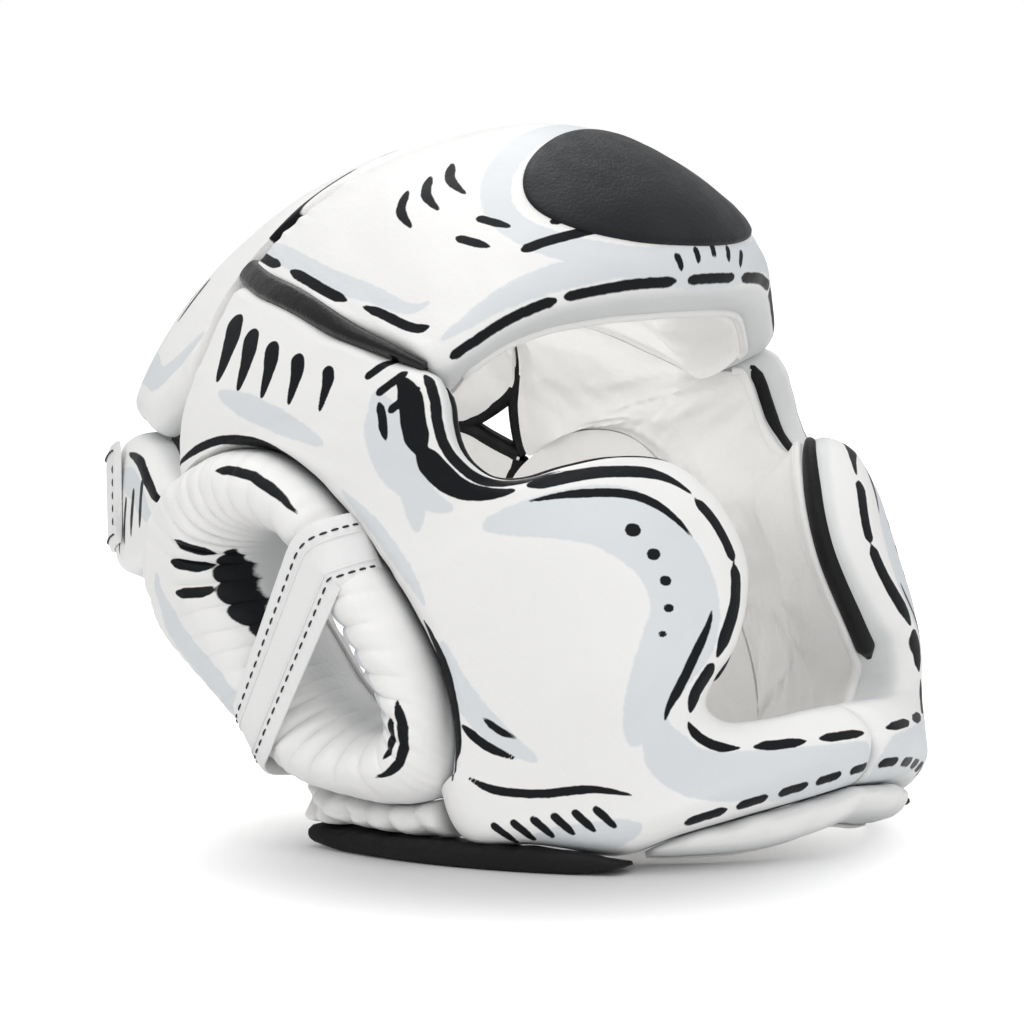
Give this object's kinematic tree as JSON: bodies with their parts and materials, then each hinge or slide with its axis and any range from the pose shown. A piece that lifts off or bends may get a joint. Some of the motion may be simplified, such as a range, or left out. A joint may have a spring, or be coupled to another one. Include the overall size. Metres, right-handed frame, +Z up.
{
  "type": "boxing headguard",
  "caption": "Full-face padded leather headguard with cheek and chin pads, ringed ear holes, crossing ear straps, a bare oval badge and a rear hook-and-loop strap.",
  "frame": {"origin": "on the surface that the guard rests on, under the middle of its width and length", "axes": "+Z up as the guard rests on its two jaw edges, -Y the way the face looks, +X the wearer's left"},
  "size_m": [0.2314, 0.3032, 0.2279],
  "materials": {
    "white_leather": "satin",
    "foam": "matte",
    "lining_leather": "matte",
    "badge_leather": "satin",
    "patent_band": "gloss",
    "black_binding": "satin",
    "gusset_leather": "satin",
    "strap_leather": "satin",
    "hook_tape": "matte",
    "loop_tape": "matte"
  },
  "bodies": {
    "shell": {"forehead_cover": "white_leather", "forehead_foam": "foam", "forehead_lining": "lining_leather", "forehead_badge": "badge_leather", "crown_cover": "white_leather", "crown_foam": "foam", "crown_lining": "lining_leather", "right_side_cover": "white_leather", "right_side_foam": "foam", "right_side_lining": "lining_leather", "left_side_cover": "white_leather", "left_side_foam": "foam", "left_side_lining": "lining_leather", "right_seam_band": "patent_band", "left_seam_band": "patent_band", "right_ear_ring_cover": "white_leather", "right_ear_ring_foam": "foam", "right_ear_ring_lining": "lining_leather", "left_ear_ring_cover": "white_leather", "left_ear_ring_foam": "foam", "left_ear_ring_lining": "lining_leather", "right_ear_strap": "strap_leather", "left_ear_strap": "strap_leather", "right_jaw_gusset": "gusset_leather", "left_jaw_gusset": "gusset_leather", "right_jaw_binding": "black_binding", "left_jaw_binding": "black_binding", "chin_cup_cover": "white_leather", "chin_cup_foam": "foam", "chin_cup_lining": "lining_leather", "right_wing_cover": "white_leather", "right_wing_foam": "foam", "right_wing_lining": "lining_leather", "left_wing_cover": "white_leather", "left_wing_foam": "foam", "left_wing_lining": "lining_leather", "rear_loop_tape": "loop_tape"},
    "closure": {"rear_strap": "strap_leather", "rear_hook_tape": "hook_tape"}
  },
  "joints": [
    {"name": "rear_strap_hinge", "type": "hinge", "parent": "shell", "child": "closure", "pos_m": [-0.0709, 0.108, 0.1037], "axis": [0, 0.342, 0.9397], "range_deg": [0, 95]}
  ]
}
